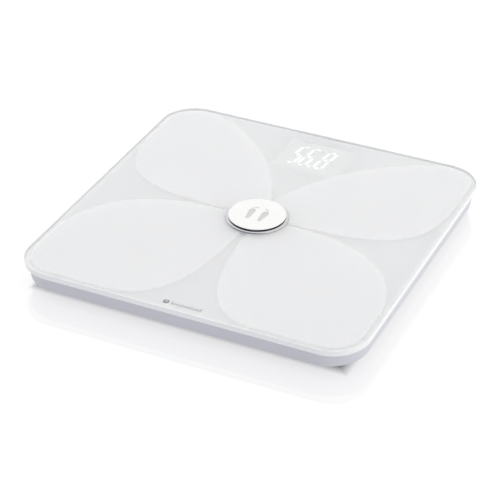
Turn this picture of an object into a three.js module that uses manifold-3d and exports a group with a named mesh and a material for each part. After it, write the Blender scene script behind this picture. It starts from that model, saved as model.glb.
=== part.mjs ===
// A digital bathroom scale: a square glass platform on a shallow moulded shell, four weighing feet, a round
// metal hub in the middle and a lit display under the glass.
// Millimetres, +Z up. The origin is on the floor under the centre of the platform, and the display is at +Y.
import * as THREE from "three";
import { mergeVertices } from "three/addons/utils/BufferGeometryUtils.js";
import Module from "manifold-3d";

// Platform
const PLATE_SIDE = 300;
const PLATE_CORNER = 32;
const PLATE_THICKNESS = 5;
const PLATE_EDGE = 0.7;
const GLASS_TOP = 25;
const GLASS_BOTTOM = GLASS_TOP - PLATE_THICKNESS;
const HUB_HOLE_RADIUS = 10;

// Printed film and adhesive under the glass
const FILM_INSET = 1;
const FILM_TOP = GLASS_BOTTOM - 0.05;
const FILM_BOTTOM = FILM_TOP - 0.15;
const TAPE_BOTTOM = FILM_BOTTOM - 0.4;
const TAPE_OUTER_INSET = 3.6;
const TAPE_INNER_INSET = 10.6;

// Clear electrodes on the glass, each leaf-shaped and reaching in under the hub
const ELECTRODE_THICKNESS = 0.15;
const ELECTRODE_BORDER = PLATE_SIDE / 2 - 5;
const ELECTRODE_CORNER = 27;
const ELECTRODE_ROOT = 14;

// Base shell
const SHELL_BOTTOM = 7.2;
const SHELL_FLOOR = SHELL_BOTTOM + 2;
const SHELL_LIP = TAPE_BOTTOM + 0.3;
const SHELL_CORNER = 35.5;
const WALL_TOP_INSET = 1.2;
const WALL_BOTTOM_INSET = 3;
const CHANNEL_OUTER_INSET = 5.6;
const CHANNEL_INNER_INSET = 9.2;
const CAVITY_INSET = 10.9;
const RIB_THICKNESS = 1.4;
const RIBS_ACROSS_X = [-76, -24, 24, 76];
const RIBS_ACROSS_Y = [-112, -72, -36, 24, 60];
const CHANNEL_RIBS = [-80, 0, 80];
const ABOVE_SHELL = SHELL_LIP + 1;

// Feet and load cells
const FOOT_OFFSET = 110;
const FOOT_PLAY = 0.6;
const FOOT_GAP = 0.3;
const PAD_RADIUS = 17;
const PAD_HEIGHT = 2.2;
const CUP_RADIUS = 21;
const CUP_TOP = SHELL_BOTTOM - 0.8;
const STEM_RADIUS = 6;
const STEM_HOLE_RADIUS = 6.8;
const CELL_SIDE = 34;
const CELL_BOTTOM = 12.4;
const CELL_TOP = 13.6;
const POCKET_HALF = 18.2;
const POCKET_WALL = 1.5;
const POCKET_TOP = 16.2;

// Hub
const BEZEL_RADIUS = 26.7;
const CAP_RADIUS = 24.3;
const HUB_BOTTOM = 25.2;
const CARRIER_FLANGE_RADIUS = 22.2;
const CARRIER_FLANGE_BOTTOM = 25.6;
const CARRIER_FLANGE_TOP = 26.4;
const BEZEL_TOP = 27;
const CAP_BOTTOM = 27.4;
const CAP_TOP = 28.3;
const CARRIER_STEM_RADIUS = 8.9;
const CARRIER_STEM_BOTTOM = 15;
const NUT_RADIUS = 13;
const NUT_TOP = FILM_BOTTOM - 0.3;
const NUT_BOTTOM = NUT_TOP - 3.8;

// Circuit board and display
const BOARD = { x: [-50, 50], y: [85, 138.5], z: [13.2, 14.4] };
const WINDOW = { x: [-28, 33], y: [89, 137] };
const DISPLAY_TOP = FILM_BOTTOM - 0.8;
const BOARD_SCREWS = [
  { name: "front_left", x: -46.5, y: 95 },
  { name: "front_right", x: 46.5, y: 95 },
  { name: "rear_left", x: -46.5, y: 134 },
  { name: "rear_right", x: 46.5, y: 134 },
];

// Unit button under the shell
const BUTTON = { x: 42, y: 112, radius: 3.9, flange: 5.2, travel: 0.6 };
const BUTTON_FLANGE_BOTTOM = SHELL_FLOOR + 0.2;
const BUTTON_FLANGE_TOP = BUTTON_FLANGE_BOTTOM + 0.4;

// Batteries, their bay and its door
const BATTERY_RADIUS = 5.1;
const BATTERY_BODY = 43.5;
const BATTERY_NUB = 1;
const BATTERY_PITCH = 11.1;
const BATTERY_AXIS_Z = 13.8;
const BAY_CENTRE_Y = -75;
const BAY = { x: [-17.2, 17.2], y: [-103, -47], top: 19.05 };
const BAY_BLOCK = { x: [-20.6, 20.6], y: [-108.6, -39.6], z: [SHELL_BOTTOM + 0.4, ABOVE_SHELL] };
const DOOR = { x: [-18.7, 18.7], y: [-104.7, -45.3], z: [SHELL_BOTTOM, 8.4] };
const DOOR_GAP = 0.3;
const DOOR_LEDGE = 8.6;
const LATCH_WIDTH = 12;
const LATCH_REACH = 4;
const TAB_X = 10;
const TAB_WIDTH = 6;
const TAB_TOP = DOOR_LEDGE + 0.9;
const LEAF_WIDTH = 6;

// Leads inside the shell
const CELL_LEAD_RADIUS = 0.9;
const CELL_LEAD_Z = 18.1;
const HUB_LEAD_RADIUS = 0.9;
const HUB_LEAD_Z = 16.2;
const BATTERY_LEAD_RADIUS = 0.7;
const BATTERY_LEAD_Z = 12.6;
const CORRIDOR_WIDTH = 5;
const SOCKET_LEAD_Z = 16.6;
const SOCKET_FRONT = 85.5;

// Colour, roughness and metalness of each kind of surface
const FINISHES = {
  glass: [0xe6e8e7, 0.05, 0],
  film: [0xf1f1f0, 0.5, 0],
  electrode: [0xf0f1f0, 0.15, 0],
  satin_metal: [0xf2f2ef, 0.3, 0.9],
  chrome: [0xc9cbcd, 0.08, 1],
  white_plastic: [0xd9d9e2, 0.45, 0],
  inner_plastic: [0xe8e8e6, 0.5, 0],
  tape: [0xd5d5d0, 0.9, 0],
  steel: [0xb4b6b8, 0.35, 1],
  spring_metal: [0xc8b27a, 0.35, 1],
  rubber: [0x8d8f92, 0.9, 0],
  board: [0x1f6b45, 0.5, 0],
  chip: [0x1c1c1e, 0.5, 0],
  diffuser: [0xf6f8fa, 0.3, 0],
  battery: [0x3a6ea5, 0.4, 0.3],
  lead: [0x9a9ca0, 0.6, 0],
};

const CORNERS = [
  { name: "rear_right", x: 1, y: 1 },
  { name: "rear_left", x: -1, y: 1 },
  { name: "front_right", x: 1, y: -1 },
  { name: "front_left", x: -1, y: -1 },
];

const wasm = await Module();
wasm.setup();

const scale = new THREE.Group();

function addPiece(name, finish, geometry) {
  const [color, roughness, metalness] = FINISHES[finish];
  const mesh = new THREE.Mesh(geometry, new THREE.MeshStandardMaterial({ color, roughness, metalness }));
  mesh.name = name;
  scale.add(mesh);
  return mesh;
}

// ---- Shape helpers ----

function solidOf(geometry) {
  const flat = geometry.index ? geometry.toNonIndexed() : geometry;
  const bare = new THREE.BufferGeometry();
  bare.setAttribute("position", flat.getAttribute("position"));
  const merged = mergeVertices(bare, 1e-4);
  const vertProperties = merged.getAttribute("position").array;
  const triVerts = new Uint32Array(merged.index.array);
  return new wasm.Manifold(new wasm.Mesh({ numProp: 3, vertProperties, triVerts }));
}

function geometryOf(solid) {
  const mesh = solid.getMesh();
  const geometry = new THREE.BufferGeometry();
  geometry.setAttribute("position", new THREE.BufferAttribute(mesh.vertProperties, 3));
  geometry.setIndex(new THREE.BufferAttribute(mesh.triVerts, 1));
  return geometry;
}

function join(...geometries) {
  const solids = geometries.map(solidOf);
  return geometryOf(solids.reduce((whole, solid) => whole.add(solid)));
}

function carve(geometry, ...cutters) {
  const solids = cutters.map(solidOf);
  return geometryOf(solids.reduce((whole, solid) => whole.subtract(solid), solidOf(geometry)));
}

function about(centre, width) {
  return [centre - width / 2, centre + width / 2];
}

function box(x, y, z) {
  const geometry = new THREE.BoxGeometry(x[1] - x[0], y[1] - y[0], z[1] - z[0]);
  return geometry.translate((x[0] + x[1]) / 2, (y[0] + y[1]) / 2, (z[0] + z[1]) / 2);
}

function roundedRect(x, y, radius) {
  const shape = new THREE.Shape();
  shape.moveTo(x[0] + radius, y[0]);
  shape.absarc(x[1] - radius, y[0] + radius, radius, -Math.PI / 2, 0);
  shape.absarc(x[1] - radius, y[1] - radius, radius, 0, Math.PI / 2);
  shape.absarc(x[0] + radius, y[1] - radius, radius, Math.PI / 2, Math.PI);
  shape.absarc(x[0] + radius, y[0] + radius, radius, Math.PI, Math.PI * 1.5);
  return shape;
}

// The platform's square outline, drawn in by inset.
function squareOutline(inset, corner) {
  const half = PLATE_SIDE / 2 - inset;
  return roundedRect([-half, half], [-half, half], corner);
}

function shellOutline(inset) {
  return squareOutline(inset, SHELL_CORNER - (inset - WALL_TOP_INSET));
}

function slab(shape, bottom, top, curveSegments = 5) {
  const options = { depth: top - bottom, bevelEnabled: false, curveSegments };
  return new THREE.ExtrudeGeometry(shape, options).translate(0, 0, bottom);
}

// A closed ring between two outlines.
function frame(outer, inner, bottom, top) {
  outer.holes.push(inner);
  return slab(outer, bottom, top);
}

// A closed solid through convex outlines of equal point count, each at its own height, listed upwards.
function loft(levels, curveSegments = 5) {
  const rings = levels.map(({ shape, z }) => {
    const points = shape.getPoints(curveSegments);
    points.pop();
    return points.map((p) => new THREE.Vector3(p.x, p.y, z));
  });
  const count = rings[0].length;
  const index = [];
  for (let level = 0; level + 1 < rings.length; level += 1) {
    for (let i = 0; i < count; i += 1) {
      const a = level * count + i;
      const b = level * count + ((i + 1) % count);
      index.push(a, b, b + count, a, b + count, a + count);
    }
  }
  const last = (rings.length - 1) * count;
  for (let i = 1; i + 1 < count; i += 1) {
    index.push(0, i + 1, i);
    index.push(last, last + i, last + i + 1);
  }
  const geometry = new THREE.BufferGeometry().setFromPoints(rings.flat());
  geometry.setIndex(index);
  return geometry;
}

// A turned solid about Z. The profile lists [radius, height] with the outside running upwards.
function turned(profile, segments = 24) {
  const points = profile.map(([radius, z]) => new THREE.Vector2(radius, z));
  return new THREE.LatheGeometry(points, segments).rotateX(Math.PI / 2);
}

function turnedRing(profile, segments = 24) {
  return turned([...profile, profile[0]], segments);
}

function cylinder(radius, bottom, top, segments = 24) {
  return turned([[0, bottom], [radius, bottom], [radius, top], [0, top]], segments);
}

// A path whose steps fall on its own points, so that a straight run between two of them is one step.
class Polyline extends THREE.Curve {
  constructor(points) {
    super();
    this.points = points;
  }

  getPoint(t, target = new THREE.Vector3()) {
    const place = t * (this.points.length - 1);
    const before = Math.min(Math.floor(place), this.points.length - 2);
    return target.lerpVectors(this.points[before], this.points[before + 1], place - before);
  }

  getPointAt(u, target) {
    return this.getPoint(u, target);
  }

  getTangentAt(u, target) {
    return this.getTangent(u, target);
  }
}

// Straight runs through the waypoints, with each turn rounded.
function route(waypoints, turn) {
  const corners = waypoints.map((p) => new THREE.Vector3(...p));
  const points = [corners[0]];
  for (let i = 1; i + 1 < corners.length; i += 1) {
    const corner = corners[i];
    const [enter, leave] = [corners[i - 1], corners[i + 1]].map((end) => {
      const reach = Math.min(turn, corner.distanceTo(end) / 2.2);
      return corner.clone().add(end.clone().sub(corner).setLength(reach));
    });
    points.push(...new THREE.QuadraticBezierCurve3(enter, corner, leave).getPoints(3));
  }
  points.push(corners[corners.length - 1]);
  return new Polyline(points);
}

function tube(path, radius) {
  const section = new THREE.Shape();
  section.absarc(0, 0, radius, 0, Math.PI * 2);
  const steps = path.points.length - 1;
  return new THREE.ExtrudeGeometry(section, { steps, extrudePath: path, curveSegments: 4 });
}

// ---- Platform ----

function makeGlassPlate() {
  const plate = loft([
    { shape: squareOutline(PLATE_EDGE, PLATE_CORNER - PLATE_EDGE), z: GLASS_BOTTOM },
    { shape: squareOutline(0, PLATE_CORNER), z: GLASS_BOTTOM + PLATE_EDGE },
    { shape: squareOutline(0, PLATE_CORNER), z: GLASS_TOP - PLATE_EDGE },
    { shape: squareOutline(PLATE_EDGE, PLATE_CORNER - PLATE_EDGE), z: GLASS_TOP },
  ]);
  const hole = cylinder(HUB_HOLE_RADIUS, GLASS_BOTTOM - 1, GLASS_TOP + 1, 32);
  addPiece("glass_plate", "glass", carve(plate, hole));
}

function makeBackingFilm() {
  const film = slab(squareOutline(FILM_INSET, PLATE_CORNER - FILM_INSET), FILM_BOTTOM, FILM_TOP);
  const hole = cylinder(HUB_HOLE_RADIUS + 0.5, FILM_BOTTOM - 1, FILM_TOP + 1);
  const window = slab(roundedRect(WINDOW.x, WINDOW.y, 2), FILM_BOTTOM - 1, FILM_TOP + 1, 2);
  addPiece("backing_film", "film", carve(film, hole, window));
}

function makeAdhesiveFrame() {
  const outer = shellOutline(TAPE_OUTER_INSET);
  const inner = shellOutline(TAPE_INNER_INSET);
  addPiece("adhesive_frame", "tape", frame(outer, inner, TAPE_BOTTOM, FILM_BOTTOM));
}

// Each outline is drawn in the +X, +Y quarter: out from the hub along the middle gap to the border, round the
// platform's corner and back along the side gap. The rear pair leaves the display clear, the front pair not.
function rearElectrodeOutline() {
  const border = ELECTRODE_BORDER;
  const shape = new THREE.Shape();
  shape.absarc(0, 0, ELECTRODE_ROOT, 0.1, Math.PI / 2 - 0.1);
  shape.lineTo(2, 31);
  shape.bezierCurveTo(21, 93, 75, 134, 110, border);
  shape.absarc(border - ELECTRODE_CORNER, border - ELECTRODE_CORNER, ELECTRODE_CORNER, Math.PI / 2, 0, true);
  shape.lineTo(border, 94);
  shape.bezierCurveTo(border, 22, 123, 2, 31, 1.5);
  return shape;
}

function frontElectrodeOutline() {
  const border = ELECTRODE_BORDER;
  const shape = new THREE.Shape();
  shape.absarc(0, 0, ELECTRODE_ROOT, 0.1, Math.PI / 2 - 0.2);
  shape.lineTo(3, 31);
  shape.bezierCurveTo(4, 72, 11, border, 63, border);
  shape.absarc(border - ELECTRODE_CORNER, border - ELECTRODE_CORNER, ELECTRODE_CORNER, Math.PI / 2, 0, true);
  shape.lineTo(border, 88);
  shape.bezierCurveTo(border, 84, 146, -3, 27, 0.6);
  return shape;
}

// One coated sheet for each corner, its outline mirrored into that corner's quarter.
function makeElectrodes() {
  for (const corner of CORNERS) {
    const outline = corner.y > 0 ? rearElectrodeOutline() : frontElectrodeOutline();
    const points = outline.getPoints(8).map((p) => new THREE.Vector2(p.x * corner.x, p.y * corner.y));
    const sheet = slab(new THREE.Shape(points), GLASS_TOP, GLASS_TOP + ELECTRODE_THICKNESS);
    addPiece(`electrode_${corner.name}`, "electrode", sheet);
  }
}

// ---- Hub ----

function makeHubCap() {
  const profile = [
    [0, CARRIER_FLANGE_TOP],
    [11, CARRIER_FLANGE_TOP],
    [11, CAP_BOTTOM],
    [CAP_RADIUS - 0.3, CAP_BOTTOM],
    [CAP_RADIUS, CAP_BOTTOM + 0.3],
    [CAP_RADIUS - 0.1, CAP_TOP - 0.3],
    [CAP_RADIUS - 0.6, CAP_TOP],
    [0, CAP_TOP],
  ];
  addPiece("hub_cap", "satin_metal", turned(profile, 32));
}

function makeHubBezel() {
  const inside = CARRIER_FLANGE_RADIUS + 0.4;
  const profile = [
    [inside, HUB_BOTTOM],
    [BEZEL_RADIUS, HUB_BOTTOM],
    [BEZEL_RADIUS, HUB_BOTTOM + 0.3],
    [BEZEL_RADIUS - 1.1, BEZEL_TOP],
    [inside, BEZEL_TOP],
  ];
  addPiece("hub_bezel", "chrome", turnedRing(profile, 32));
}

// The plug that clamps the hub through the glass, with a slot down its stem for each electrode contact.
function makeHubCarrier() {
  const profile = [
    [0, CARRIER_STEM_BOTTOM],
    [CARRIER_STEM_RADIUS, CARRIER_STEM_BOTTOM],
    [CARRIER_STEM_RADIUS, CARRIER_FLANGE_BOTTOM],
    [CARRIER_FLANGE_RADIUS, CARRIER_FLANGE_BOTTOM],
    [CARRIER_FLANGE_RADIUS, CARRIER_FLANGE_TOP],
    [0, CARRIER_FLANGE_TOP],
  ];
  const slots = CORNERS.map((corner) => {
    const slot = box([7.2, 9.5], about(0, 3.6), [CARRIER_STEM_BOTTOM - 1, CARRIER_FLANGE_BOTTOM]);
    return slot.rotateZ(Math.atan2(corner.y, corner.x));
  });
  addPiece("hub_carrier", "inner_plastic", carve(turned(profile), ...slots));
}

function makeHubNut() {
  const hexagon = new THREE.Shape();
  for (let i = 0; i < 6; i += 1) {
    const angle = (i * Math.PI) / 3;
    hexagon[i ? "lineTo" : "moveTo"](NUT_RADIUS * Math.cos(angle), NUT_RADIUS * Math.sin(angle));
  }
  const hole = cylinder(CARRIER_STEM_RADIUS + 0.3, NUT_BOTTOM - 1, NUT_TOP + 1);
  addPiece("hub_nut", "inner_plastic", carve(slab(hexagon, NUT_BOTTOM, NUT_TOP), hole));
}

// A bent strip that lies on its electrode under the hub and turns down the carrier's slot.
function makeHubContacts() {
  for (const corner of CORNERS) {
    const strip = join(
      box([7.7, 20], about(0, 3), [HUB_BOTTOM, HUB_BOTTOM + 0.3]),
      box([7.7, 8], about(0, 3), [CARRIER_STEM_BOTTOM + 0.5, HUB_BOTTOM + 0.3]),
    );
    const mesh = addPiece(`hub_contact_${corner.name}`, "spring_metal", strip);
    mesh.rotation.z = Math.atan2(corner.y, corner.x);
  }
}

// ---- Leads ----

// Each load cell's lead runs up over its pocket's wall, then along and across to its own place at the socket.
const CELL_LEADS = [
  { corner: "rear_right", x: 1, y: 1, runY: 76, socketX: 47 },
  { corner: "rear_left", x: -1, y: 1, runY: 76, socketX: 38 },
  { corner: "front_right", x: 1, y: -1, runY: 72, socketX: 44 },
  { corner: "front_left", x: -1, y: -1, runY: 72, socketX: 41 },
];

function cellLeadWaypoints({ x, y, runY, socketX }) {
  const side = x * FOOT_OFFSET;
  return [
    [side, y * (FOOT_OFFSET - 10.2), 15],
    [side, y * (FOOT_OFFSET - 20), CELL_LEAD_Z],
    [side, runY, CELL_LEAD_Z],
    [socketX, runY, CELL_LEAD_Z],
    [socketX, SOCKET_FRONT - 0.4, SOCKET_LEAD_Z],
  ];
}

const HUB_LEAD_WAYPOINTS = [
  [0, 3, 13.9],
  [0, 14, 13.9],
  [0, 22, HUB_LEAD_Z],
  [0, 30, HUB_LEAD_Z],
  [-40, 30, HUB_LEAD_Z],
  [-40, 80, HUB_LEAD_Z],
  [-40, SOCKET_FRONT - 0.4, SOCKET_LEAD_Z],
];

function batteryLeadWaypoints(side) {
  return [
    [side * 12, BAY_BLOCK.y[1] + 0.4, BATTERY_LEAD_Z],
    [side * 12, -30, BATTERY_LEAD_Z],
    [side * 29, -30, BATTERY_LEAD_Z],
    [side * 29, 78, BATTERY_LEAD_Z],
    [side * 29, BOARD.y[0] - 0.4, 13.8],
  ];
}

function makeLeads() {
  for (const lead of CELL_LEADS) {
    addPiece(`cell_lead_${lead.corner}`, "lead", tube(route(cellLeadWaypoints(lead), 6), CELL_LEAD_RADIUS));
  }
  addPiece("hub_lead", "lead", tube(route(HUB_LEAD_WAYPOINTS, 6), HUB_LEAD_RADIUS));
  addPiece("battery_lead_negative", "lead", tube(route(batteryLeadWaypoints(-1), 6), BATTERY_LEAD_RADIUS));
  addPiece("battery_lead_positive", "lead", tube(route(batteryLeadWaypoints(1), 6), BATTERY_LEAD_RADIUS));
}

// Notches through the ribs along a lead's straight runs.
function corridors(waypoints, bottom) {
  const margin = CORRIDOR_WIDTH / 2;
  const notches = [];
  for (let i = 0; i + 1 < waypoints.length; i += 1) {
    const [ax, ay] = waypoints[i];
    const [bx, by] = waypoints[i + 1];
    const x = [Math.min(ax, bx) - margin, Math.max(ax, bx) + margin];
    const y = [Math.min(ay, by) - margin, Math.max(ay, by) + margin];
    notches.push(box(x, y, [bottom, ABOVE_SHELL + 1]));
  }
  return notches;
}

// ---- Base shell ----

// The wall leans in towards its foot, which is rounded.
function shellTray() {
  const outside = loft([
    { shape: shellOutline(WALL_BOTTOM_INSET + 1.2), z: SHELL_BOTTOM },
    { shape: shellOutline(WALL_BOTTOM_INSET + 0.35), z: SHELL_BOTTOM + 0.35 },
    { shape: shellOutline(WALL_BOTTOM_INSET), z: SHELL_BOTTOM + 1.2 },
    { shape: shellOutline(WALL_TOP_INSET), z: SHELL_LIP },
  ]);
  const channelOuter = shellOutline(CHANNEL_OUTER_INSET);
  const channelInner = shellOutline(CHANNEL_INNER_INSET);
  const channel = frame(channelOuter, channelInner, SHELL_FLOOR, ABOVE_SHELL);
  const cavity = slab(shellOutline(CAVITY_INSET), SHELL_FLOOR, ABOVE_SHELL);
  return carve(outside, channel, cavity);
}

// Upright ribs, left tall until the recess for the tape trims them level. They stop at the board's room and
// the load cells' pockets, and are notched where a lead crosses them.
function shellRibs() {
  const reach = PLATE_SIDE / 2 - CAVITY_INSET + 0.5;
  const height = [SHELL_FLOOR - 0.5, ABOVE_SHELL];
  const outer = PLATE_SIDE / 2 - CHANNEL_OUTER_INSET + 0.5;
  const inner = PLATE_SIDE / 2 - CHANNEL_INNER_INSET - 0.5;
  const ribs = [];
  for (const x of RIBS_ACROSS_X) {
    ribs.push(box(about(x, RIB_THICKNESS), [-reach, reach], height));
  }
  for (const y of RIBS_ACROSS_Y) {
    ribs.push(box([-reach, reach], about(y, RIB_THICKNESS), height));
  }
  for (const along of CHANNEL_RIBS) {
    for (const side of [[-outer, -inner], [inner, outer]]) {
      ribs.push(box(about(along, RIB_THICKNESS), side, height));
      ribs.push(box(side, about(along, RIB_THICKNESS), height));
    }
  }
  const below = SHELL_FLOOR - 1;
  const notches = [
    ...CELL_LEADS.flatMap((lead) => corridors(cellLeadWaypoints(lead), POCKET_TOP)),
    ...corridors(HUB_LEAD_WAYPOINTS, 12.4),
    ...[-1, 1].flatMap((side) => corridors(batteryLeadWaypoints(side), 11.4)),
  ];
  const boardRoom = box([-53.3, 53.3], [80, PLATE_SIDE / 2 - CAVITY_INSET], [below, ABOVE_SHELL + 1]);
  const pockets = atFeet(() => cellPocket(POCKET_HALF + 0.5, [below, ABOVE_SHELL + 1]));
  return carve(join(...ribs), boardRoom, ...pockets, ...notches);
}

function atFeet(make) {
  return CORNERS.map((corner) => make().translate(corner.x * FOOT_OFFSET, corner.y * FOOT_OFFSET, 0));
}

function cellPocket(half, z) {
  return box([-half, half], [-half, half], z);
}

function cellPocketWalls() {
  const height = [SHELL_FLOOR - 0.5, POCKET_TOP];
  const outer = cellPocket(POCKET_HALF + POCKET_WALL, height);
  return carve(outer, cellPocket(POCKET_HALF, [height[0] - 1, height[1] + 1]));
}

function cellRails() {
  const z = [SHELL_FLOOR - 0.5, CELL_BOTTOM];
  return join(box(about(-17, 3), about(0, 30), z), box(about(17, 3), about(0, 30), z));
}

function shellOpenings() {
  const doorX = [DOOR.x[0] - DOOR_GAP, DOOR.x[1] + DOOR_GAP];
  const doorY = [DOOR.y[0] - DOOR_GAP, DOOR.y[1] + DOOR_GAP];
  const through = [SHELL_BOTTOM - 1, DOOR_LEDGE];
  const openings = [
    box(BAY.x, BAY.y, [SHELL_BOTTOM - 1, BAY.top]),
    box(doorX, doorY, through),
    box(about(0, LATCH_WIDTH + 1), [doorY[1] - 1, doorY[1] + LATCH_REACH], through),
    cylinder(BUTTON.radius + 0.4, SHELL_BOTTOM - 1, SHELL_FLOOR + 1).translate(BUTTON.x, BUTTON.y, 0),
  ];
  for (const side of [-TAB_X, TAB_X]) {
    const room = [DOOR_LEDGE - 0.4, TAB_TOP + 2.2];
    openings.push(box(about(side, TAB_WIDTH + 1.2), [DOOR.y[0] - 2.9, BAY.y[0] + 1], room));
  }
  for (const { x, y } of BOARD_SCREWS) {
    openings.push(cylinder(1.3, SHELL_FLOOR + 0.6, ABOVE_SHELL, 8).translate(x, y, 0));
  }
  return openings;
}

function makeBaseShell() {
  const bosses = BOARD_SCREWS.map(({ x, y }) =>
    cylinder(3, SHELL_FLOOR - 0.5, BOARD.z[0], 12).translate(x, y, 0),
  );
  const bay = box(BAY_BLOCK.x, BAY_BLOCK.y, BAY_BLOCK.z);
  const cellSupports = [...atFeet(cellPocketWalls), ...atFeet(cellRails)];
  const whole = join(shellTray(), shellRibs(), bay, ...cellSupports, ...bosses);
  const tapeRecess = slab(shellOutline(TAPE_OUTER_INSET - 0.3), TAPE_BOTTOM, ABOVE_SHELL + 1);
  const footHoles = atFeet(() => cylinder(STEM_HOLE_RADIUS, SHELL_BOTTOM - 1, SHELL_FLOOR + 1, 16));
  addPiece("base_shell", "white_plastic", carve(whole, tapeRecess, ...footHoles, ...shellOpenings()));
}

// ---- Weighing feet ----

// A stamped plate whose middle tongue takes the foot's load and carries the gauge at its root.
function cellPlate() {
  const half = CELL_SIDE / 2;
  const plate = roundedRect([-half, half], [-half, half], 3);
  const outer = 12;
  const tongue = 8;
  const slot = new THREE.Path([
    new THREE.Vector2(-outer, outer),
    new THREE.Vector2(outer, outer),
    new THREE.Vector2(outer, -outer),
    new THREE.Vector2(tongue, -outer),
    new THREE.Vector2(tongue, tongue),
    new THREE.Vector2(-tongue, tongue),
    new THREE.Vector2(-tongue, -outer),
    new THREE.Vector2(-outer, -outer),
  ]);
  plate.holes.push(slot);
  return slab(plate, CELL_BOTTOM, CELL_TOP, 2);
}

// The cup's stem bears on the load cell's tongue, and its collar keeps it from dropping out of the shell.
function footCup() {
  const collar = SHELL_FLOOR + FOOT_PLAY + FOOT_GAP;
  const stemTop = CELL_BOTTOM - FOOT_GAP;
  return turned([
    [0, PAD_HEIGHT],
    [CUP_RADIUS - 1.5, PAD_HEIGHT],
    [CUP_RADIUS, PAD_HEIGHT + 1.5],
    [CUP_RADIUS, CUP_TOP - 0.6],
    [CUP_RADIUS - 0.6, CUP_TOP],
    [STEM_RADIUS, CUP_TOP],
    [STEM_RADIUS, collar],
    [STEM_RADIUS + 2.2, collar + 0.1],
    [STEM_RADIUS, collar + 1.1],
    [STEM_RADIUS - 2, stemTop],
    [0, stemTop],
  ], 20);
}

function footPad() {
  return turned([
    [0, 0],
    [PAD_RADIUS - 0.6, 0],
    [PAD_RADIUS, 0.6],
    [PAD_RADIUS, PAD_HEIGHT],
    [0, PAD_HEIGHT],
  ]);
}

function makeFeet() {
  for (const corner of CORNERS) {
    const place = [corner.x * FOOT_OFFSET, corner.y * FOOT_OFFSET, 0];
    const turn = corner.y > 0 ? 0 : Math.PI;
    const gauge = box(about(0, 8), [-9.5, -4.5], [CELL_TOP, CELL_TOP + 0.5]);
    addPiece(`load_cell_${corner.name}`, "steel", cellPlate().rotateZ(turn).translate(...place));
    addPiece(`strain_gauge_${corner.name}`, "inner_plastic", gauge.rotateZ(turn).translate(...place));
    addPiece(`foot_cup_${corner.name}`, "white_plastic", footCup().translate(...place));
    addPiece(`foot_pad_${corner.name}`, "rubber", footPad().translate(...place));
  }
}

// ---- Electronics ----

function makeBoard() {
  const top = BOARD.z[1];
  const holes = BOARD_SCREWS.map(({ x, y }) =>
    cylinder(1.4, BOARD.z[0] - 1, top + 1, 12).translate(x, y, 0),
  );
  addPiece("main_board", "board", carve(box(BOARD.x, BOARD.y, BOARD.z), ...holes));
  addPiece("weighing_chip", "chip", box(about(-39.5, 7), about(123, 7), [top, top + 1]));
  addPiece("radio_module", "chip", box(about(-39.5, 12), about(106, 14), [top, top + 1.8]));
  const sockets = { depth: [SOCKET_FRONT, SOCKET_FRONT + 5.5], height: [top, top + 4.4] };
  addPiece("cell_socket", "inner_plastic", box([35, 50], sockets.depth, sockets.height));
  addPiece("hub_socket", "inner_plastic", box([-46, -34], sockets.depth, sockets.height));
}

function makeBoardScrews() {
  const top = BOARD.z[1];
  const profile = [
    [0, SHELL_FLOOR + 1],
    [1, SHELL_FLOOR + 1],
    [1, top],
    [2.2, top],
    [2.2, top + 0.8],
    [1.2, top + 1.4],
    [0, top + 1.4],
  ];
  for (const { name, x, y } of BOARD_SCREWS) {
    addPiece(`board_screw_${name}`, "steel", turned(profile, 12).translate(x, y, 0));
  }
}

// The block that shapes each digit's light, and the diffuser sheet over it.
function makeDisplay() {
  const blockX = [WINDOW.x[0] - 1.5, WINDOW.x[1] + 1.5];
  const blockY = [WINDOW.y[0] - 1, WINDOW.y[1] + 1];
  addPiece("display_block", "inner_plastic", box(blockX, blockY, [BOARD.z[1], DISPLAY_TOP]));
  addPiece("display_diffuser", "diffuser", box(WINDOW.x, WINDOW.y, [DISPLAY_TOP, DISPLAY_TOP + 0.5]));
}

// The push switch hangs under the board, its plunger just past the unit button's travel.
function makeUnitSwitch() {
  const plungerBottom = BUTTON_FLANGE_TOP + BUTTON.travel + 0.1;
  const body = box(about(BUTTON.x, 6), about(BUTTON.y, 6), [plungerBottom + 0.5, BOARD.z[0]]);
  const plunger = cylinder(1.6, plungerBottom, plungerBottom + 1, 16).translate(BUTTON.x, BUTTON.y, 0);
  addPiece("unit_switch", "chip", join(body, plunger));
}

function makeUnitButton() {
  const button = turned([
    [0, SHELL_BOTTOM + 0.3],
    [BUTTON.radius - 0.4, SHELL_BOTTOM + 0.3],
    [BUTTON.radius, SHELL_BOTTOM + 0.7],
    [BUTTON.radius, BUTTON_FLANGE_BOTTOM],
    [BUTTON.flange, BUTTON_FLANGE_BOTTOM],
    [BUTTON.flange, BUTTON_FLANGE_TOP],
    [0, BUTTON_FLANGE_TOP],
  ], 16);
  addPiece("unit_button", "rubber", button.translate(BUTTON.x, BUTTON.y, 0));
}

// ---- Batteries ----

// A cell lying along Y, its positive nub towards +Y when facing is 1.
function makeBattery(name, x, facing) {
  const half = (BATTERY_BODY + BATTERY_NUB) / 2;
  const shoulder = half - BATTERY_NUB;
  const cell = turned([
    [0, -half],
    [BATTERY_RADIUS - 0.5, -half],
    [BATTERY_RADIUS, 0.5 - half],
    [BATTERY_RADIUS, shoulder - 0.5],
    [BATTERY_RADIUS - 0.5, shoulder],
    [2.7, shoulder],
    [2.7, half],
    [0, half],
  ], 16);
  cell.rotateX((-facing * Math.PI) / 2);
  addPiece(name, "battery", cell.translate(x, BAY_CENTRE_Y, BATTERY_AXIS_Z));
}

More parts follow.
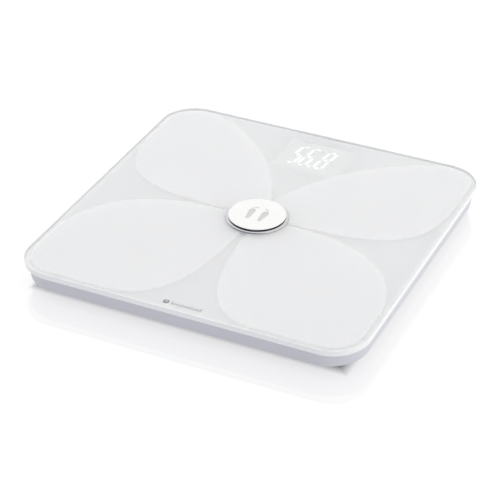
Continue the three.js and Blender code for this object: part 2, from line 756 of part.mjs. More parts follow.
// A leaf spring bowed from its wall plate towards the end of one cell, drawn from the wall at 0 outwards.
function batteryLeaf(x) {
  const profile = new THREE.Shape([
    new THREE.Vector2(0, -3.1),
    new THREE.Vector2(0.8, -3.1),
    new THREE.Vector2(4.6, -0.3),
    new THREE.Vector2(4.6, 0.3),
    new THREE.Vector2(1.2, 3),
    new THREE.Vector2(0.9, 2.7),
    new THREE.Vector2(4.1, 0),
    new THREE.Vector2(0.4, -2.6),
    new THREE.Vector2(0.4, 3.9),
    new THREE.Vector2(0, 3.9),
  ]);
  const leaf = new THREE.ExtrudeGeometry(profile, { depth: LEAF_WIDTH, bevelEnabled: false });
  return leaf.translate(0, 0, -LEAF_WIDTH / 2).rotateX(Math.PI / 2).rotateZ(Math.PI / 2).translate(x, 0, 0);
}

// A contact for one cell, or a link across two, standing 0.3 mm off an end wall of the bay.
// It is drawn for the front wall, and turned half round for the rear one.
function makeBatteryContact(name, columns, end) {
  const centres = columns.map((column) => -end * column * BATTERY_PITCH);
  const across = [Math.min(...centres) - 4.2, Math.max(...centres) + 4.2];
  const contact = join(box(across, [0, 0.4], [-3.1, 3.9]), ...centres.map(batteryLeaf));
  const wallY = end > 0 ? BAY.y[1] - 0.3 : BAY.y[0] + 0.3;
  contact.rotateZ(end > 0 ? Math.PI : 0);
  addPiece(name, "spring_metal", contact.translate(0, wallY, BATTERY_AXIS_Z));
}

function makeBatteries() {
  makeBattery("battery_left", -BATTERY_PITCH, 1);
  makeBattery("battery_middle", 0, -1);
  makeBattery("battery_right", BATTERY_PITCH, 1);
  makeBatteryContact("battery_link_front", [-1, 0], -1);
  makeBatteryContact("battery_contact_negative", [1], -1);
  makeBatteryContact("battery_link_rear", [0, 1], 1);
  makeBatteryContact("battery_contact_positive", [-1], 1);
}

// The door hooks its two tabs behind the front ledge and closes with a finger latch at its rear edge.
function makeBatteryDoor() {
  const latch = box(about(0, LATCH_WIDTH), [DOOR.y[1] - 1, DOOR.y[1] + LATCH_REACH], DOOR.z);
  const tabs = [-TAB_X, TAB_X].flatMap((x) => [
    box(about(x, TAB_WIDTH), [DOOR.y[0], DOOR.y[0] + 1.4], [DOOR.z[0] + 0.5, TAB_TOP]),
    box(about(x, TAB_WIDTH), [DOOR.y[0] - 2.3, DOOR.y[0] + 1.4], [TAB_TOP - 0.8, TAB_TOP]),
  ]);
  addPiece("battery_door", "white_plastic", join(box(DOOR.x, DOOR.y, DOOR.z), latch, ...tabs));
}

makeGlassPlate();
makeBackingFilm();
makeAdhesiveFrame();
makeElectrodes();
makeHubCap();
makeHubBezel();
makeHubCarrier();
makeHubNut();
makeHubContacts();
makeBaseShell();
makeFeet();
makeBoard();
makeBoardScrews();
makeDisplay();
makeUnitSwitch();
makeUnitButton();
makeBatteries();
makeBatteryDoor();
makeLeads();

export default scale;
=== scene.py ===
"""The looks of a digital bathroom scale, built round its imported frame.

Outlines and profiles below are in millimetres and become metres when a mesh is made.
"""

import math

import bmesh
import bpy
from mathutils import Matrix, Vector


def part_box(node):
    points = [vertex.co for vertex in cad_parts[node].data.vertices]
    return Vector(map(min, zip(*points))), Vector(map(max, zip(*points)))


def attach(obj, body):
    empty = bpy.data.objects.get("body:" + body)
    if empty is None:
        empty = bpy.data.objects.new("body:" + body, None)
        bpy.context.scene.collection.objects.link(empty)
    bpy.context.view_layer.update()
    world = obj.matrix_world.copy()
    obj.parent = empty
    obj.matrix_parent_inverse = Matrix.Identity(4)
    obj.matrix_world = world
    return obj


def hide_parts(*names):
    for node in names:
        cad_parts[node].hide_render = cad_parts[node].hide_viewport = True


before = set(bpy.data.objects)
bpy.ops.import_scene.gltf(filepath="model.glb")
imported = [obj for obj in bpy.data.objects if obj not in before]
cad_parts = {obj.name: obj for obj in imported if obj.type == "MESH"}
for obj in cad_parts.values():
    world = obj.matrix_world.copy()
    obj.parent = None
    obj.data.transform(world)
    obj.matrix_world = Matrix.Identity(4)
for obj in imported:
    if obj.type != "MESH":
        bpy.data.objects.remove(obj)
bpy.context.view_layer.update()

MM = 0.001
PLATFORM = "platform"
CORNERS = {"rear_right": (1, 1), "rear_left": (-1, 1), "front_right": (1, -1), "front_left": (-1, -1)}


def node_box(node):
    """A CAD node's lowest and highest corners in millimetres."""
    low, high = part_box(node)
    return low / MM, high / MM


def middle(node):
    """The centre of a CAD node's box in plan, in millimetres."""
    low, high = node_box(node)
    return (low.x + high.x) / 2, (low.y + high.y) / 2


GLASS_LOW, GLASS_HIGH = node_box("glass_plate")
FILM_LOW, FILM_HIGH = node_box("backing_film")
SHELL_LOW, SHELL_HIGH = node_box("base_shell")
DIFFUSER_LOW, DIFFUSER_HIGH = node_box("display_diffuser")
CAP_LOW, CAP_HIGH = node_box("hub_cap")
DOOR_LOW, DOOR_HIGH = node_box("battery_door")

# The print reaches a hair into the glass, so that no air shows between them.
PRINT_FACE = GLASS_LOW.z + 0.02
HALF_SIDE = GLASS_HIGH.x
GLASS_CORNER = 32
HUB_HOLE = 10

# A face whose normal's z is at least this is level, and stays flat when the rest is shaded smooth.
LEVEL = 0.9999

# Faces that meet at more than this angle keep a sharp edge between them.
CREASE = math.radians(32)
FLOOR_GLOW = 0.65


# ---- Camera, floor and light ----


def make_camera():
    """The reference view: from the front right, a third of the way up, with a long lens."""
    azimuth, elevation = math.radians(25.14), math.radians(33.2)
    distance, across, upward = 1.5374, -0.0061, -0.0273
    focal_length = 132.57
    away = Vector((
        math.sin(azimuth) * math.cos(elevation),
        -math.cos(azimuth) * math.cos(elevation),
        math.sin(elevation),
    ))
    right = Vector((math.cos(azimuth), math.sin(azimuth), 0))
    up = away.cross(right)
    data = bpy.data.cameras.new("camera")
    data.lens = focal_length
    data.sensor_width = 36
    data.clip_end = 50
    camera = bpy.data.objects.new("camera", data)
    target = Vector((0, 0, GLASS_HIGH.z * MM))
    camera.location = target + away * distance + right * across + up * upward
    camera.rotation_euler = away.to_track_quat("Z", "Y").to_euler()
    bpy.context.scene.collection.objects.link(camera)
    bpy.context.scene.camera = camera


def make_world():
    """A bright studio dome with a dim, cool side in front. The camera itself sees a white backdrop."""
    dim_side = (-0.25, -0.95, -0.05)
    bright, dim = (1.26, 1.26, 1.26, 1), (0.3, 0.31, 0.4, 1)
    world = bpy.data.worlds.new("studio")
    bpy.context.scene.world = world
    world.use_nodes = True
    nodes, links = world.node_tree.nodes, world.node_tree.links
    coordinates = nodes.new("ShaderNodeTexCoord")
    facing = nodes.new("ShaderNodeVectorMath")
    facing.operation = "DOT_PRODUCT"
    facing.inputs[1].default_value = dim_side
    ramp = nodes.new("ShaderNodeValToRGB")
    ramp.color_ramp.interpolation = "EASE"
    ramp.color_ramp.elements[0].position = 0.05
    ramp.color_ramp.elements[0].color = bright
    ramp.color_ramp.elements[1].position = 0.75
    ramp.color_ramp.elements[1].color = dim
    light = nodes["Background"]
    backdrop = nodes.new("ShaderNodeBackground")
    backdrop.inputs["Color"].default_value = (1, 1, 1, 1)
    rays = nodes.new("ShaderNodeLightPath")
    mix = nodes.new("ShaderNodeMixShader")
    links.new(coordinates.outputs["Generated"], facing.inputs[0])
    links.new(facing.outputs["Value"], ramp.inputs["Fac"])
    links.new(ramp.outputs["Color"], light.inputs["Color"])
    links.new(rays.outputs["Is Camera Ray"], mix.inputs["Fac"])
    links.new(light.outputs["Background"], mix.inputs[1])
    links.new(backdrop.outputs["Background"], mix.inputs[2])
    links.new(mix.outputs["Shader"], nodes["World Output"].inputs["Surface"])


def make_floor():
    """A wide white sweep, polished and lit from below like a light table, with a shadow painted under the scale
    by dimming its glow there.
    """
    reach = 4.0
    clearance = 0.00005
    mesh = bpy.data.meshes.new("floor")
    corners = [(-reach, -reach, 0), (reach, -reach, 0), (reach, reach, 0), (-reach, reach, 0)]
    mesh.from_pydata(corners, [], [(0, 1, 2, 3)])
    floor = bpy.data.objects.new("floor", mesh)
    floor.location.z = -clearance
    bpy.context.scene.collection.objects.link(floor)
    sweep = material("floor", (0.25, 0.25, 0.25), 0.02, emission=(1, 1, 1), glow=FLOOR_GLOW, IOR=1.9)
    paint_shadow_under_scale(sweep)
    mesh.materials.append(sweep)


def paint_shadow_under_scale(sweep):
    """A painted shadow: the floor's glow fades out from just inside the shell's foot towards the middle."""
    shadow_inset, lit_inset, faint_glow = 20, 9, 0.05
    nodes, links = sweep.node_tree.nodes, sweep.node_tree.links
    coordinates = nodes.new("ShaderNodeTexCoord")
    axes = nodes.new("ShaderNodeSeparateXYZ")
    links.new(coordinates.outputs["Object"], axes.inputs["Vector"])
    reach = nodes.new("ShaderNodeMath")
    reach.operation = "MAXIMUM"
    for slot, axis in enumerate("XY"):
        size = nodes.new("ShaderNodeMath")
        size.operation = "ABSOLUTE"
        links.new(axes.outputs[axis], size.inputs[0])
        links.new(size.outputs[0], reach.inputs[slot])
    fade = nodes.new("ShaderNodeMapRange")
    fade.inputs["From Min"].default_value = (HALF_SIDE - shadow_inset) * MM
    fade.inputs["From Max"].default_value = (HALF_SIDE - lit_inset) * MM
    fade.inputs["To Min"].default_value = faint_glow
    fade.inputs["To Max"].default_value = FLOOR_GLOW
    links.new(reach.outputs[0], fade.inputs["Value"])
    links.new(fade.outputs["Result"], nodes["Principled BSDF"].inputs["Emission Strength"])


# ---- Materials ----

# Most of a noise texture's values lie between these two.
NOISE_LOW, NOISE_HIGH = 0.3, 0.7

# How high a bump is for its width.
BUMP_DEPTH = 0.3


def noise(nodes, size, detail=3, stretch=(1, 1, 1)):
    """A noise texture whose features are about size millimetres across."""
    coordinates = nodes.new("ShaderNodeTexCoord")
    mapping = nodes.new("ShaderNodeMapping")
    mapping.inputs["Scale"].default_value = stretch
    texture = nodes.new("ShaderNodeTexNoise")
    texture.inputs["Scale"].default_value = 1 / (size * MM)
    texture.inputs["Detail"].default_value = detail
    tree = texture.id_data
    tree.links.new(coordinates.outputs["Object"], mapping.inputs["Vector"])
    tree.links.new(mapping.outputs["Vector"], texture.inputs["Vector"])
    return texture.outputs["Fac"]


def material(
    name,
    colour,
    roughness,
    metallic=0,
    mottle=None,
    grain=None,
    smudge=None,
    emission=None,
    glow=0,
    **sockets,
):
    """A Principled material with procedural detail.

    mottle is (size, share) of colour variation, smudge is (size, spread) of roughness variation, and grain is
    (size, strength) or (size, strength, stretch) of surface bump. Sizes are in millimetres.
    """
    made = bpy.data.materials.new(name)
    made.use_nodes = True
    nodes, links = made.node_tree.nodes, made.node_tree.links
    shader = nodes["Principled BSDF"]
    shader.inputs["Base Color"].default_value = (*colour, 1)
    shader.inputs["Roughness"].default_value = roughness
    shader.inputs["Metallic"].default_value = metallic
    if emission:
        shader.inputs["Emission Color"].default_value = (*emission, 1)
        shader.inputs["Emission Strength"].default_value = glow
    for socket, value in sockets.items():
        shader.inputs[socket.replace("_", " ")].default_value = value
    if mottle:
        size, share = mottle
        ramp = nodes.new("ShaderNodeValToRGB")
        ramp.color_ramp.elements[0].position = NOISE_LOW
        ramp.color_ramp.elements[0].color = (*(c * (1 - share) for c in colour), 1)
        ramp.color_ramp.elements[1].position = NOISE_HIGH
        ramp.color_ramp.elements[1].color = (*(min(1, c * (1 + share)) for c in colour), 1)
        links.new(noise(nodes, size), ramp.inputs["Fac"])
        links.new(ramp.outputs["Color"], shader.inputs["Base Color"])
    if smudge:
        size, spread = smudge
        spread_out = nodes.new("ShaderNodeMapRange")
        spread_out.inputs["From Min"].default_value = NOISE_LOW
        spread_out.inputs["From Max"].default_value = NOISE_HIGH
        spread_out.inputs["To Min"].default_value = max(0, roughness - spread)
        spread_out.inputs["To Max"].default_value = roughness + spread
        links.new(noise(nodes, size), spread_out.inputs["Value"])
        links.new(spread_out.outputs["Result"], shader.inputs["Roughness"])
    if grain:
        size, strength, *stretch = grain
        bump = nodes.new("ShaderNodeBump")
        bump.inputs["Strength"].default_value = strength
        bump.inputs["Distance"].default_value = size * MM * BUMP_DEPTH
        pattern = noise(nodes, size, 2, stretch[0] if stretch else (1, 1, 1))
        links.new(pattern, bump.inputs["Height"])
        links.new(bump.outputs["Normal"], shader.inputs["Normal"])
    return made


def make_materials():
    """Every finish by name, with the look that each record slot calls for."""
    return {
        "glass": material(
            "clear_glass", (0.985, 0.995, 0.99), 0.015, smudge=(45, 0.012), grain=(60, 0.01), IOR=1.5,
            Transmission_Weight=1.0,
        ),
        # The ground edge glows a little: painted light that brightens the edge band.
        "glass_edge": material(
            "ground_edge", (0.76, 0.77, 0.77), 0.24, mottle=(18, 0.006), smudge=(9, 0.04),
            grain=(0.5, 0.04), emission=(1, 1, 1), glow=0.13,
        ),
        # The print glows a little: painted light standing in for the light that the glass above holds back.
        "film": material(
            "white_print", (0.95, 0.95, 0.95), 0.5, mottle=(35, 0.004), grain=(0.4, 0.05),
            emission=(1, 0.985, 0.99), glow=0.12,
        ),
        # A painted highlight along the glass's edge: a bright band that glows.
        "border": material(
            "painted_edge_highlight", (0.97, 0.97, 0.97), 0.5, mottle=(35, 0.003), grain=(0.4, 0.05),
            emission=(1, 1, 1), glow=0.18,
        ),
        # The leaves are a touch lighter than the print round them. That tone is their own, but it is made with
        # a glow, which is painted light.
        "electrode": material(
            "clear_coating", (0.97, 0.97, 0.97), 0.14, mottle=(60, 0.004), smudge=(30, 0.04),
            emission=(1, 1, 1), glow=0.11, Alpha=0.15,
        ),
        "satin_metal": material(
            "satin_cap", (0.77, 0.77, 0.762), 0.32, 1, mottle=(6, 0.006), smudge=(9, 0.03),
            grain=(0.25, 0.12),
        ),
        "engraving": material("engraved_satin", (0.6, 0.6, 0.6), 0.5, 1, mottle=(3, 0.02), grain=(0.2, 0.2)),
        "chrome": material("polished_ring", (0.52, 0.52, 0.53), 0.1, 1, smudge=(14, 0.03), grain=(8, 0.02)),
        # Painted shadow: black on the bezel's step, where the cap's edge shades the gap.
        "gap": material("painted_gap_shadow", (0.02, 0.02, 0.02), 0.6, mottle=(3, 0.1), grain=(0.4, 0.1)),
        "white_plastic": material(
            "moulded_shell", (0.635, 0.635, 0.68), 0.42, mottle=(22, 0.008), smudge=(12, 0.05),
            grain=(0.35, 0.09),
        ),
        "inner_plastic": material(
            "inner_moulding", (0.8, 0.8, 0.78), 0.5, mottle=(9, 0.02), smudge=(6, 0.05), grain=(0.3, 0.12),
        ),
        "tape": material("foam_tape", (0.75, 0.75, 0.72), 0.9, mottle=(1.2, 0.08), grain=(0.5, 0.5)),
        "steel": material(
            "zinc_plate", (0.62, 0.63, 0.64), 0.34, 1, mottle=(4, 0.06), smudge=(3, 0.08),
            grain=(0.5, 0.12, (1, 12, 1)),
        ),
        "spring_metal": material(
            "spring_strip", (0.74, 0.62, 0.38), 0.3, 1, mottle=(5, 0.05), smudge=(3, 0.06),
            grain=(0.3, 0.1, (8, 1, 1)),
        ),
        "rubber": material("soft_rubber", (0.34, 0.35, 0.37), 0.72, mottle=(5, 0.05), grain=(0.3, 0.35)),
        "board": material("solder_mask", (0.035, 0.2, 0.11), 0.32, mottle=(1.6, 0.35), grain=(1.2, 0.1)),
        "chip": material("moulded_package", (0.03, 0.03, 0.033), 0.5, mottle=(0.8, 0.12), grain=(0.15, 0.25)),
        # The sheet, and the foam round it, glow a little: painted light that lifts the window under the glass,
        # like the print's glow.
        "diffuser": material(
            "opal_sheet", (0.95, 0.95, 0.95), 0.3, mottle=(20, 0.004), grain=(0.3, 0.03), emission=(1, 1, 1),
            glow=0.12,
        ),
        "digits": material(
            "lit_segment", (1, 1, 1), 0.3, mottle=(3, 0.01), grain=(0.3, 0.02), emission=(1, 1, 1), glow=0.5,
        ),
        "print": material("grey_print", (0.36, 0.36, 0.37), 0.6, mottle=(0.7, 0.08), grain=(0.2, 0.1)),
        "battery": material(
            "cell_sleeve", (0.05, 0.14, 0.3), 0.35, 0.3, mottle=(4, 0.05), smudge=(6, 0.05),
            grain=(0.6, 0.05),
        ),
        "battery_band": material(
            "cell_band", (0.72, 0.42, 0.2), 0.3, 0.6, mottle=(3, 0.05), smudge=(5, 0.05), grain=(0.6, 0.05),
        ),
        "lead": material("wire_sleeve", (0.5, 0.5, 0.52), 0.55, mottle=(2.5, 0.05), grain=(0.4, 0.15)),
    }


# ---- Shape helpers ----


def arc(centre, radius, start, end, steps=18):
    """Points round a circle between two angles in degrees, both ends included."""
    points = []
    for i in range(steps + 1):
        angle = math.radians(start + (end - start) * i / steps)
        points.append((centre[0] + radius * math.cos(angle), centre[1] + radius * math.sin(angle)))
    return points


def quarter(start, end, steps=6):
    """Angles in radians between two given in degrees."""
    return [math.radians(start + (end - start) * i / steps) for i in range(steps + 1)]


def rounded_rect(x, y, radius, steps=18):
    """A rectangle between the two x and the two y values, with round corners."""
    points = arc((x[1] - radius, y[0] + radius), radius, -90, 0, steps)
    points += arc((x[1] - radius, y[1] - radius), radius, 0, 90, steps)
    points += arc((x[0] + radius, y[1] - radius), radius, 90, 180, steps)
    points += arc((x[0] + radius, y[0] + radius), radius, 180, 270, steps)
    return points


def square(inset, corner):
    """The platform's outline drawn in by inset."""
    half = HALF_SIDE - inset
    return rounded_rect((-half, half), (-half, half), corner)


def bezier(start, lead, trail, end, steps=40):
    """Points along a cubic curve that leaves start towards lead and reaches end from trail."""
    points = []
    for i in range(steps + 1):
        t = i / steps
        weights = ((1 - t) ** 3, 3 * t * (1 - t) ** 2, 3 * t * t * (1 - t), t**3)
        weighted = list(zip(weights, (start, lead, trail, end)))
        points.append(tuple(sum(w * p[axis] for w, p in weighted) for axis in (0, 1)))
    return points


def anticlockwise(outline):
    """The outline in the order that makes its solid's faces look outwards."""
    area = sum(a[0] * b[1] - b[0] * a[1] for a, b in zip(outline, outline[1:] + outline[:1]))
    return outline if area > 0 else outline[::-1]


def lofted(name, levels, ring=False):
    """A solid through (outline, height) levels of equal point count, listed upwards outside.

    A ring has no ends: its last level joins its first.
    """
    sheet = bmesh.new()
    loops = []
    for outline, height in levels:
        loops.append([sheet.verts.new((x * MM, y * MM, height * MM)) for x, y in outline])
    pairs = list(zip(loops, loops[1:]))
    if ring:
        pairs.append((loops[-1], loops[0]))
    for lower, upper in pairs:
        for i, corner in enumerate(lower):
            j = (i + 1) % len(lower)
            sheet.faces.new((corner, lower[j], upper[j], upper[i]))
    if not ring:
        sheet.faces.new(loops[0][::-1])
        sheet.faces.new(loops[-1])
    mesh = bpy.data.meshes.new(name)
    sheet.to_mesh(mesh)
    sheet.free()
    made = bpy.data.objects.new(name, mesh)
    bpy.context.scene.collection.objects.link(made)
    return made


def slab(name, outline, bottom, top):
    """A flat solid with the outline's shape between two heights."""
    outline = anticlockwise(outline)
    return lofted(name, [(outline, bottom), (outline, top)])


def box(name, x, y, z):
    """A block between the two values given for each axis."""
    return slab(name, [(x[0], y[0]), (x[1], y[0]), (x[1], y[1]), (x[0], y[1])], z[0], z[1])


def about(centre, width):
    """The two ends of a width that has its middle at centre."""
    return centre - width / 2, centre + width / 2


def turned(name, profile, centre=(0, 0), steps=96, ring=False):
    """A body of revolution about Z through (radius, height) points, listed upwards outside."""
    return lofted(name, [(arc(centre, r, 0, 360, steps)[:-1], z) for r, z in profile], ring)


def settle(piece):
    """The piece keeps its modifiers' result as its own mesh."""
    graph = bpy.context.evaluated_depsgraph_get()
    mesh = bpy.data.meshes.new_from_object(piece.evaluated_get(graph))
    piece.modifiers.clear()
    piece.data = mesh


def trim_below(piece, level):
    """Removes what a boolean may leave of its cutters under the piece."""
    sheet = bmesh.new()
    sheet.from_mesh(piece.data)
    bmesh.ops.delete(sheet, geom=[v for v in sheet.verts if v.co.z < level * MM], context="VERTS")
    sheet.to_mesh(piece.data)
    sheet.free()


def combine(piece, others, operation):
    """Joins the others to the piece, cuts them from it, or keeps what they share."""
    for other in others:
        modifier = piece.modifiers.new(operation, "BOOLEAN")
        modifier.operation = operation
        modifier.solver = "EXACT"
        modifier.material_mode = "TRANSFER"
        modifier.object = other
    settle(piece)
    for other in others:
        bpy.data.objects.remove(other)


def soften(piece, width):
    """Rounds the piece's sharp edges."""
    bevel = piece.modifiers.new("bevel", "BEVEL")
    bevel.width = width * MM
    bevel.segments = 2
    bevel.limit_method = "ANGLE"
    bevel.angle_limit = math.radians(40)
    settle(piece)


def dress(piece, *looks):
    """Gives the piece its materials, in the order of its faces' indices."""
    piece.data.materials.clear()
    for look in looks:
        piece.data.materials.append(LOOKS[look])


def finish_piece(piece, look, body=PLATFORM, replaces=()):
    """Shades the piece, dresses it if nothing has, and hangs it on its body."""
    if not any(piece.data.materials):
        dress(piece, look)
    piece.data.shade_smooth()
    for face in piece.data.polygons:
        face.use_smooth = abs(face.normal.z) < LEVEL
    piece.data.set_sharp_from_angle(angle=CREASE)
    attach(piece, body)
    if replaces:
        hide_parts(*replaces)


# ---- Platform ----


def make_glass():
    """The toughened plate. Its ground edge is rounded at the bottom, and less so at the top."""
    lower, upper = 1.3, 0.5
    profile = [(lower * (1 - math.cos(a)), GLASS_LOW.z + lower * (1 - math.sin(a))) for a in quarter(90, 0)]
    profile += [(upper * (1 - math.cos(a)), GLASS_HIGH.z - upper * (1 - math.sin(a))) for a in quarter(0, 90)]
    plate = lofted("glass_top", [(square(inset, GLASS_CORNER - inset), z) for inset, z in profile])
    hole = turned("hub_hole", [(HUB_HOLE, GLASS_LOW.z - 1), (HUB_HOLE, GLASS_HIGH.z + 1)])
    combine(plate, [hole], "DIFFERENCE")
    dress(plate, "glass", "glass_edge")
    for face in plate.data.polygons:
        level = abs(face.normal.z) > LEVEL
        at_hole = face.center.xy.length < 2 * HUB_HOLE * MM
        face.material_index = int(not level and not at_hole)
    finish_piece(plate, "glass", replaces=["glass_plate"])


def window_outline(grow):
    """The display's window in the print, or the same outline drawn out by grow."""
    x = (DIFFUSER_LOW.x - grow, DIFFUSER_HIGH.x + grow)
    y = (DIFFUSER_LOW.y - grow, DIFFUSER_HIGH.y + grow)
    return rounded_rect(x, y, 2)


def make_film():
    """The white print under the glass, with the display's window and the hub's hole cut out."""
    inset = HALF_SIDE - FILM_HIGH.x
    film = slab("printed_film", square(inset, GLASS_CORNER - inset), FILM_LOW.z, PRINT_FACE)
    window = slab("window", window_outline(0), FILM_LOW.z - 1, FILM_HIGH.z + 1)
    radius = HUB_HOLE + 0.5
    hole = turned("hole", [(radius, FILM_LOW.z - 1), (radius, FILM_HIGH.z + 1)])
    combine(film, [window, hole], "DIFFERENCE")
    finish_piece(film, "film", replaces=["backing_film"])


def make_edge_highlight():
    """A painted highlight: a brighter, glowing band that runs round the platform just inside its edge."""
    inner, outer = 4.4, 1.7
    bottom, top = PRINT_FACE + 0.005, PRINT_FACE + 0.02
    corners = [(inner, top), (inner, bottom), (outer, bottom), (outer, top)]
    levels = [(square(inset, GLASS_CORNER - inset), height) for inset, height in corners]
    finish_piece(lofted("painted_highlight_band", levels, ring=True), "border")


# How far the electrodes reach from the plate's middle, the radius of their outer corner, and that of the circle
# round the plate's middle where they start, which the hub hides.
LEAF_BORDER = node_box("electrode_rear_right")[1].x
LEAF_CORNER = 27
LEAF_TIP = 14


def leaf_corner():
    """The leaf's round corner at the plate's corner, from its rear end to its right end."""
    centre = LEAF_BORDER - LEAF_CORNER
    return arc((centre, centre), LEAF_CORNER, 90, 0)


def rear_leaf():
    """The rear right electrode's outline, opening wide to leave the display clear."""
    border = LEAF_BORDER
    outline = arc((0, 0), LEAF_TIP, 6, 84)
    outline += bezier((2, 31), (21, 93), (75, 134), (110, border))
    outline += leaf_corner()
    outline += bezier((border, 94), (border, 22), (123, 2), (31, 1.5))
    return outline


def front_leaf():
    """The front electrode's outline, drawn in the rear right quarter."""
    border = LEAF_BORDER
    outline = arc((0, 0), LEAF_TIP, 6, 78)
    outline += bezier((3, 31), (4, 72), (11, border), (63, border))
    outline += leaf_corner()
    outline += bezier((border, 88), (border, 84), (border, -3), (27, 0.6))
    return outline


def make_electrodes():
    """Four thin clear sheets on the glass, just off it so that the two surfaces stay apart."""
    for corner, (x, y) in CORNERS.items():
        node = f"electrode_{corner}"
        base = node_box(node)[0].z
        leaf = rear_leaf() if y > 0 else front_leaf()
        outline = [(px * x, py * y) for px, py in leaf]
        sheet = slab(f"coating_{corner}", outline, base + 0.01, base + 0.04)
        finish_piece(sheet, "electrode", replaces=[node])


def make_print():
    """A plain graduated rule printed in grey along the front, with a dial mark at its left end."""
    bottom, top = PRINT_FACE + 0.005, PRINT_FACE + 0.03
    middle_line = -138.5
    tick_foot = middle_line - 2.1
    tick_count, first_tick, pitch, width = 13, -8.6, 2.05, 0.85
    long_tick, short_tick = 4.6, 2.8
    dial_x, dial_radius = -14, 2.7
    marks = []
    for i in range(tick_count):
        height = long_tick if i % 4 == 0 else short_tick
        across = about(first_tick + i * pitch, width)
        marks.append(box("tick", across, (tick_foot, tick_foot + height), (bottom, top)))
    dial = turned("dial", [(dial_radius, bottom), (dial_radius, top)], (dial_x, middle_line), 40)
    needle = [
        (dial_x - 0.7, middle_line - 0.4),
        (dial_x + 0.7, middle_line - 0.4),
        (dial_x, middle_line + 3.2),
    ]
    combine(dial, [slab("notch", needle, bottom - 1, top + 1)], "DIFFERENCE")
    combine(dial, marks, "UNION")
    dial.name = "front_rule"
    finish_piece(dial, "print")


# ---- Display ----

# Each figure's lit bars, by their usual letters, and the left end of its place.
DIGIT_BARS = {"5": "acdfg", "6": "acdefg", "8": "abcdefg"}
DIGIT_PLACES = {"5": -19.7, "6": -8.7, "8": 6.2}
DIGIT_FOOT = 97.2
DIGIT_WIDTH = 9.2
DIGIT_HEIGHT = 32
DIGIT_BAR = 2.1
DIGIT_GAP = 1.5
DIGIT_SLANT = math.tan(math.radians(9))


def bar_ends():
    """Where each of the seven bars runs, from the digit's lower left corner."""
    left, right = DIGIT_BAR / 2, DIGIT_WIDTH - DIGIT_BAR / 2
    low, half, high = DIGIT_BAR / 2, DIGIT_HEIGHT / 2, DIGIT_HEIGHT - DIGIT_BAR / 2
    return {
        "a": ((left, high), (right, high)),
        "b": ((right, half), (right, high)),
        "c": ((right, low), (right, half)),
        "d": ((left, low), (right, low)),
        "e": ((left, low), (left, half)),
        "f": ((left, half), (left, high)),
        "g": ((left, half), (right, half)),
    }


def bar_outline(start, end):
    """A bar with pointed ends, a little short of both corners."""
    along = (Vector(end) - Vector(start)).normalized()
    across = Vector((-along.y, along.x)) * DIGIT_BAR / 2
    first = Vector(start) + along * DIGIT_GAP
    last = Vector(end) - along * DIGIT_GAP
    shoulder = along * DIGIT_BAR / 2
    return [
        first,
        first + shoulder - across,
        last - shoulder - across,
        last,
        last - shoulder + across,
        first + shoulder + across,
    ]


def make_digits():
    """The lit reading, seven-bar figures that lean to the right, on the diffuser under the glass."""
    bottom, top = DIFFUSER_HIGH.z + 0.02, DIFFUSER_HIGH.z + 0.2
    bars = []
    for figure, left in DIGIT_PLACES.items():
        for bar in DIGIT_BARS[figure]:
            outline = bar_outline(*bar_ends()[bar])
            leaning = [(left + p.x + p.y * DIGIT_SLANT, DIGIT_FOOT + p.y) for p in outline]
            bars.append(slab("bar", leaning, bottom, top))
    point_left = DIGIT_PLACES["8"] - 3.6
    point = rounded_rect((point_left, point_left + 2), (DIGIT_FOOT, DIGIT_FOOT + 2.6), 0.6, 5)
    digits = slab("point", point, bottom, top)
    combine(digits, bars, "UNION")
    digits.name = "lit_digits"
    finish_piece(digits, "digits")


def make_gasket():
    """A white foam frame that fills the step from the print down to the diffuser, all round the window. It
    wears the diffuser's finish, whose glow is painted light.
    """
    width = 2.5
    bottom, top = DIFFUSER_HIGH.z - 0.3, FILM_LOW.z
    corners = [(width, bottom), (width, top), (0.0, top), (0.0, bottom)]
    levels = [(window_outline(grow), height) for grow, height in corners]
    finish_piece(lofted("light_gasket", levels, ring=True), "diffuser")


# ---- Hub ----

HUB_STEPS = 160


def footprint(side):
    """One bare footprint as outlines: the sole, and five toes that shrink outwards.

    The sole is a long oval, widest at the ball, narrow at the arch and a little wider again at the heel.
    """
    scale = 1.3
    steps = 48
    half_length = 6.2
    sole = []
    for i in range(steps):
        angle = 2 * math.pi * i / steps
        y = half_length * math.sin(angle)
        width = 2.5 + 0.75 * math.sin(angle) - 0.7 * math.cos(2 * angle + 0.4)
        sole.append((side * scale * (4.4 + width * math.cos(angle)), scale * (y - 1.5)))
    toes = []
    for i in range(5):
        radius = 1.05 - 0.13 * i
        centre = (side * scale * (2.7 + 1.3 * i - 0.1 * i * i), scale * (7.2 - 0.28 * i * i))
        toes.append(arc(centre, scale * radius * 0.62, 0, 360, 20)[:-1])
    return [sole, *toes]


def make_hub_cap():
    """A satin disc with a rounded rim, overhanging its own foot, with two footprints engraved in its top."""
    edge, top = CAP_HIGH.x, CAP_HIGH.z
    foot, lift, rim = 11, top - 0.75, 0.3
    depth = 0.12
    profile = [(foot, CAP_LOW.z), (foot, lift), (edge - 0.35, lift), (edge, lift + 0.2), (edge, top - rim)]
    profile += [(edge - rim + rim * math.cos(a), top - rim + rim * math.sin(a)) for a in quarter(0, 90)][1:]
    cap = turned("hub_cap_disc", profile, steps=HUB_STEPS)
    dress(cap, "satin_metal")
    prints = []
    for side in (-1, 1):
        for outline in footprint(side):
            mark = slab("mark", outline, top - depth, top + 1)
            dress(mark, "engraving")
            prints.append(mark)
    combine(cap, prints, "DIFFERENCE")
    finish_piece(cap, "satin_metal", replaces=["hub_cap"])


